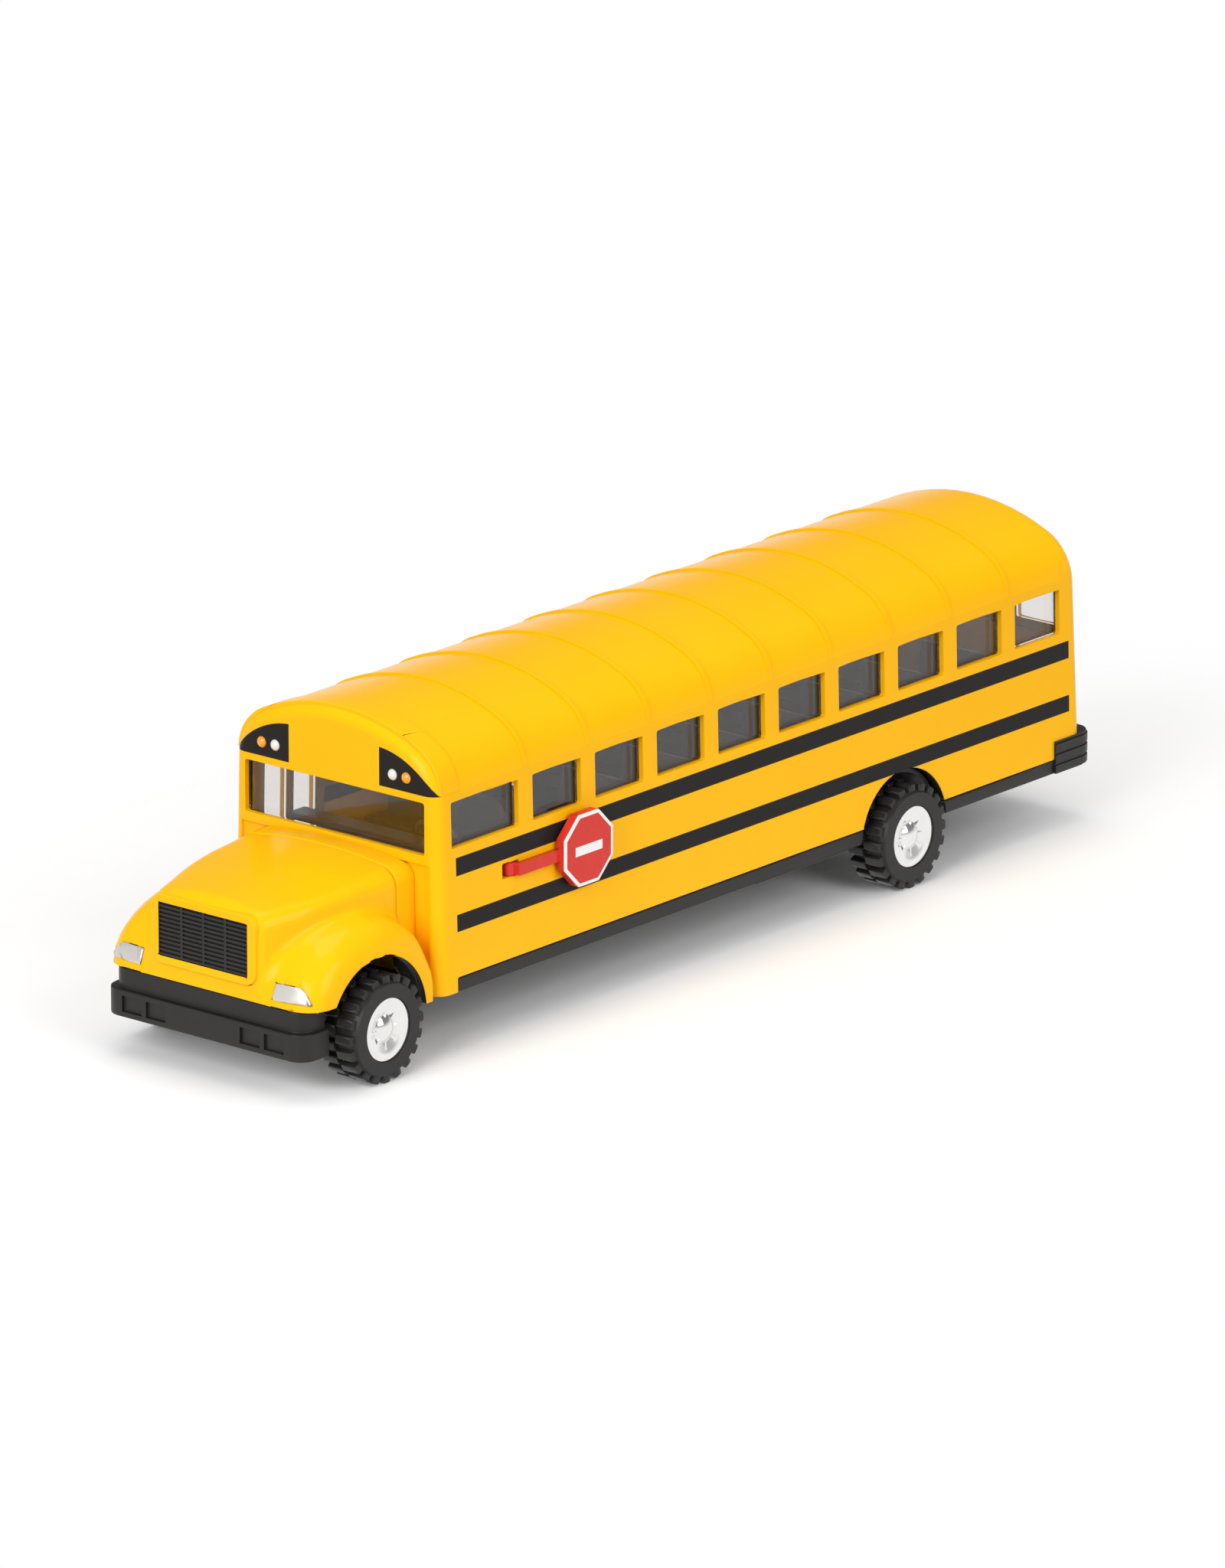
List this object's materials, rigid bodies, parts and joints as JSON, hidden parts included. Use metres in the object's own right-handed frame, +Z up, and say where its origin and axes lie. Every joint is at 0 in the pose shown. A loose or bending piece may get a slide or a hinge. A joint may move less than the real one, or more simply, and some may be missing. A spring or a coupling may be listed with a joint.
{
  "type": "toy school bus",
  "caption": "Toy school bus: cast yellow body and hood, smoked windows, black chassis and bumpers, lugged wheels, pull-back spring motor and a stop arm that swings out.",
  "frame": {"origin": "on the ground below the middle of the bus, midway between the bumpers' faces", "axes": "+X forward to the front bumper, +Y to the bus's left, where the stop arm is, +Z up"},
  "size_m": [0.217, 0.0524, 0.0586],
  "materials": {
    "yellow_paint": "glossy enamel",
    "smoked_plastic": "clear, smoked",
    "grey_plastic": "satin",
    "black_plastic": "satin",
    "silver_plastic": "silver paint",
    "amber_plastic": "glossy",
    "clear_plastic": "glossy",
    "red_plastic": "glossy",
    "steel": "bright",
    "tyre": "satin",
    "chromed_plastic": "chrome plated",
    "ivory_plastic": "natural"
  },
  "bodies": {
    "bus": {"body_shell": "yellow_paint", "hood": "yellow_paint", "window_insert": "smoked_plastic", "seat_tray": "grey_plastic", "chassis": "black_plastic", "front_bumper": "black_plastic", "rear_bumper": "black_plastic", "grille_insert": "black_plastic", "headlight_left": "silver_plastic", "headlight_right": "silver_plastic", "amber_lamps": "amber_plastic", "clear_lamps": "clear_plastic", "tail_lamps": "red_plastic", "stop_arm_pin": "steel", "idler_shaft": "steel", "spring_arbor": "steel", "motor_case_left": "black_plastic", "motor_case_right": "black_plastic", "chassis_screws": "steel", "motor_screws": "steel"},
    "stop_arm": {"stop_arm": "red_plastic"},
    "front_wheels": {"front_axle": "steel", "front_tyre_left": "tyre", "front_tyre_right": "tyre", "front_hub_left": "chromed_plastic", "front_hub_right": "chromed_plastic"},
    "rear_wheels": {"rear_axle": "steel", "rear_tyre_left": "tyre", "rear_tyre_right": "tyre", "rear_hub_left": "chromed_plastic", "rear_hub_right": "chromed_plastic", "axle_gear": "ivory_plastic"},
    "idler": {"idler_gear": "ivory_plastic"},
    "barrel": {"spring_barrel": "ivory_plastic", "mainspring": "steel"}
  },
  "joints": [
    {"name": "stop_arm_swing", "type": "hinge", "parent": "bus", "child": "stop_arm", "pos_m": [0.0541, 0.02271, 0.02935], "axis": [0, 0, -1], "range_deg": [0, 90]},
    {"name": "front_roll", "type": "hinge", "parent": "bus", "child": "front_wheels", "pos_m": [0.09, 0, 0.00963], "axis": [0, 1, 0], "continuous": true},
    {"name": "rear_roll", "type": "hinge", "parent": "bus", "child": "rear_wheels", "pos_m": [-0.0535, 0, 0.00963], "axis": [0, 1, 0], "continuous": true},
    {"name": "idler_turn", "type": "hinge", "parent": "bus", "child": "idler", "pos_m": [-0.0466, 0, 0.01256], "axis": [0, 1, 0], "continuous": true},
    {"name": "barrel_turn", "type": "hinge", "parent": "bus", "child": "barrel", "pos_m": [-0.03794, 0, 0.01008], "axis": [0, 1, 0], "continuous": true}
  ],
  "couplings": [
    {"joint": "idler_turn", "follows": "rear_roll", "ratio": -0.875},
    {"joint": "barrel_turn", "follows": "rear_roll", "ratio": 0.7}
  ]
}
